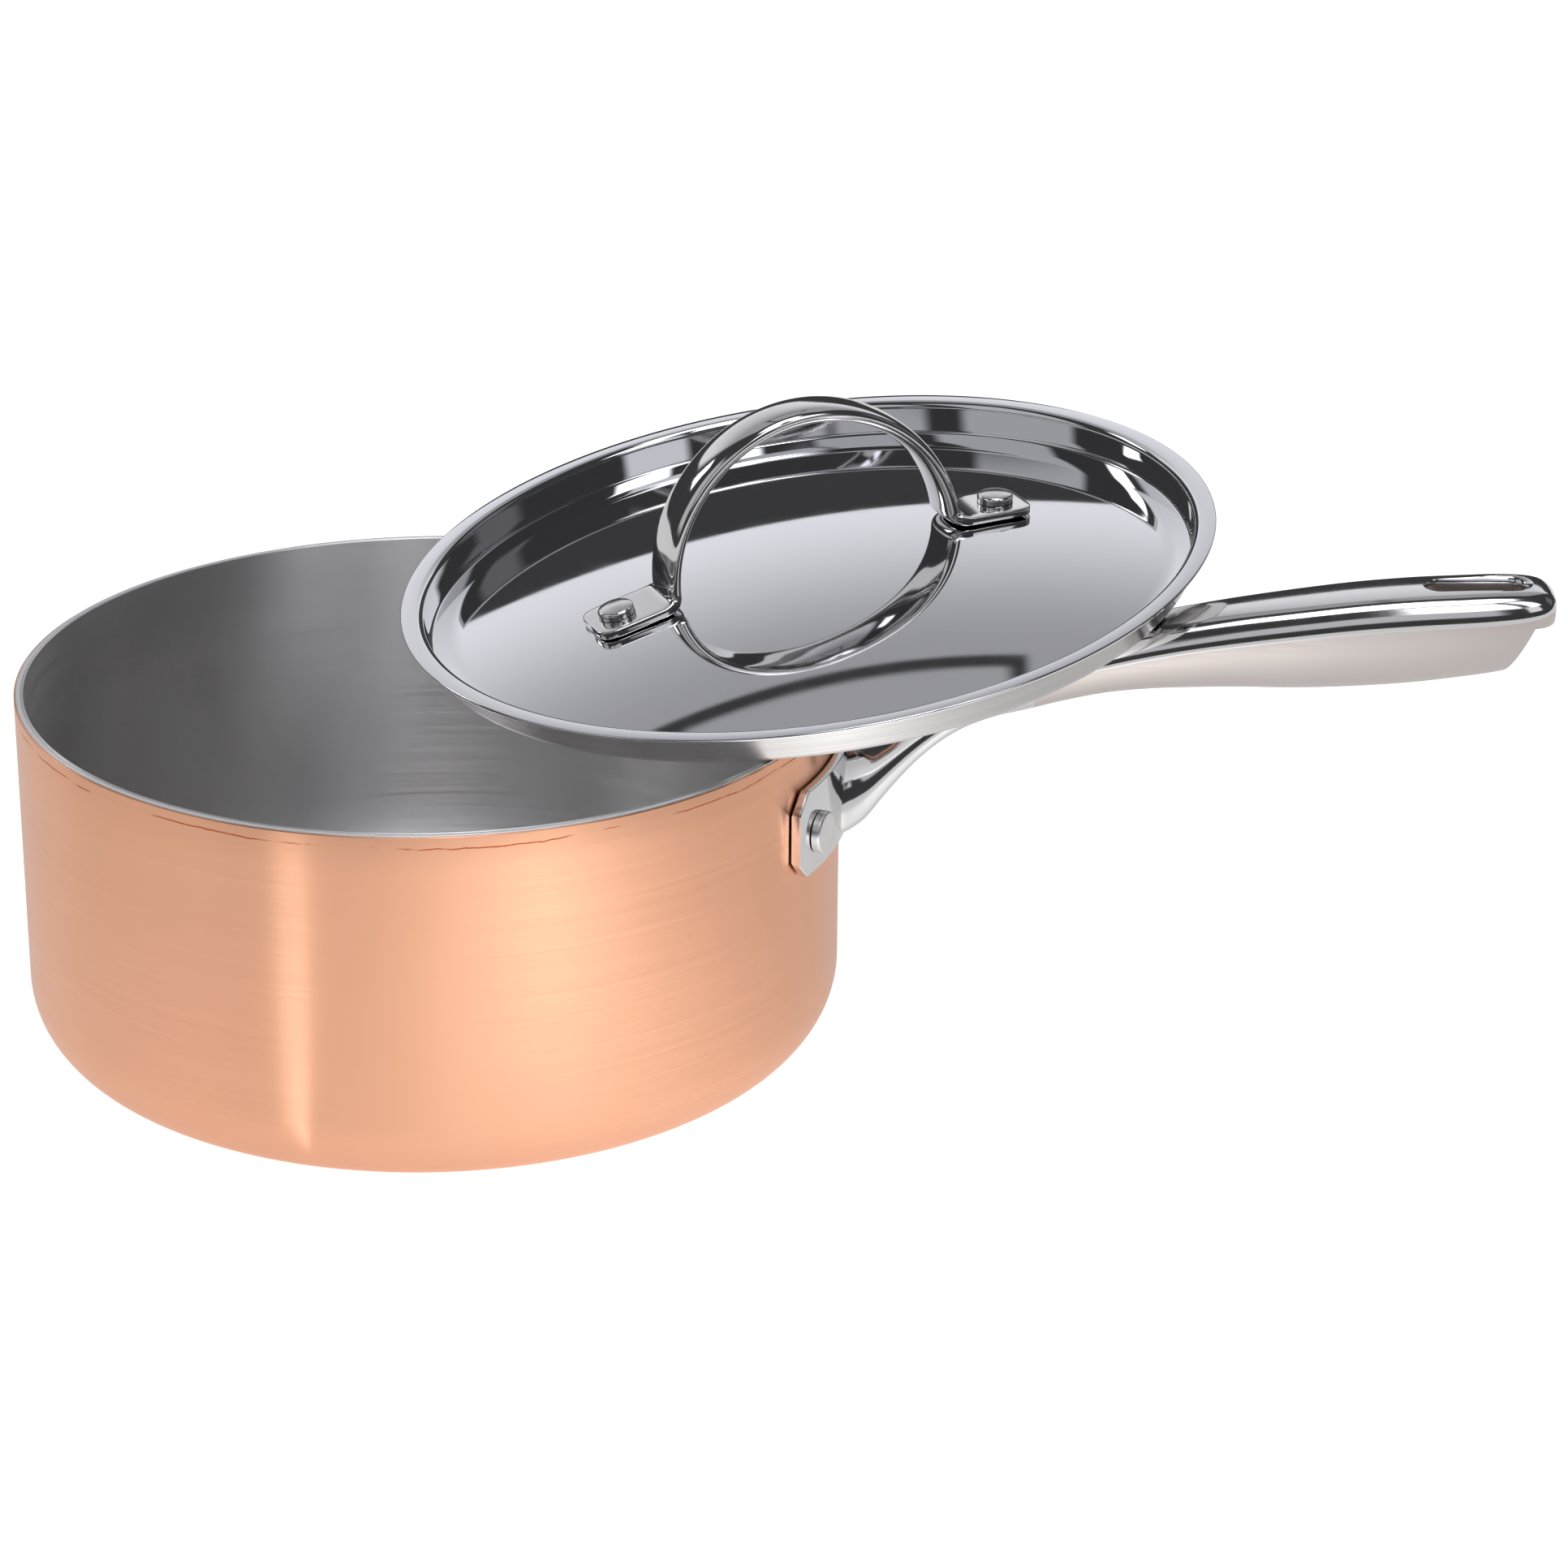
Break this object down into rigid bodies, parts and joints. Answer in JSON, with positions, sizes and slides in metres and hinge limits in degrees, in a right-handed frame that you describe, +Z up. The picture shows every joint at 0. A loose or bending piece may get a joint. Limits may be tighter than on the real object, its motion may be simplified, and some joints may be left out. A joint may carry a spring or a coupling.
{
  "type": "saucepan with lid",
  "caption": "Straight-sided copper-clad saucepan with a cast steel handle and a pressed steel lid with a loop, leaning on the rim.",
  "frame": {"origin": "centre of the pan's flat underside", "axes": "+Z up out of the pan, +X out along the pan handle"},
  "size_m": [0.3716, 0.2421, 0.1487],
  "materials": {
    "copper_satin": "satin-polished copper",
    "aluminium_cut": "cut edge",
    "steel_interior": "brushed round",
    "steel_cast_handle": "polished top, satin sides",
    "steel_pan_rivet": "bright",
    "steel_pan_rivet_far": "bright",
    "steel_lid_polished": "mirror polish, brushed outer wall",
    "steel_loop_polished": "mirror polish",
    "steel_lid_rivet_left": "bright",
    "steel_lid_rivet_right": "bright"
  },
  "bodies": {
    "pan": {"copper_shell": "copper_satin", "aluminium_core": "aluminium_cut", "steel_liner": "steel_interior", "pan_handle": "steel_cast_handle", "pan_rivet_near": "steel_pan_rivet", "pan_rivet_far": "steel_pan_rivet_far"},
    "lid": {"lid_disc": "steel_lid_polished", "lid_loop": "steel_loop_polished", "lid_rivet_left": "steel_lid_rivet_left", "lid_rivet_right": "steel_lid_rivet_right"}
  },
  "joints": [
    {"name": "lid_lift", "type": "slide", "parent": "pan", "child": "lid", "axis": [0, 0, 1], "range_m": [0, 0.1]}
  ]
}
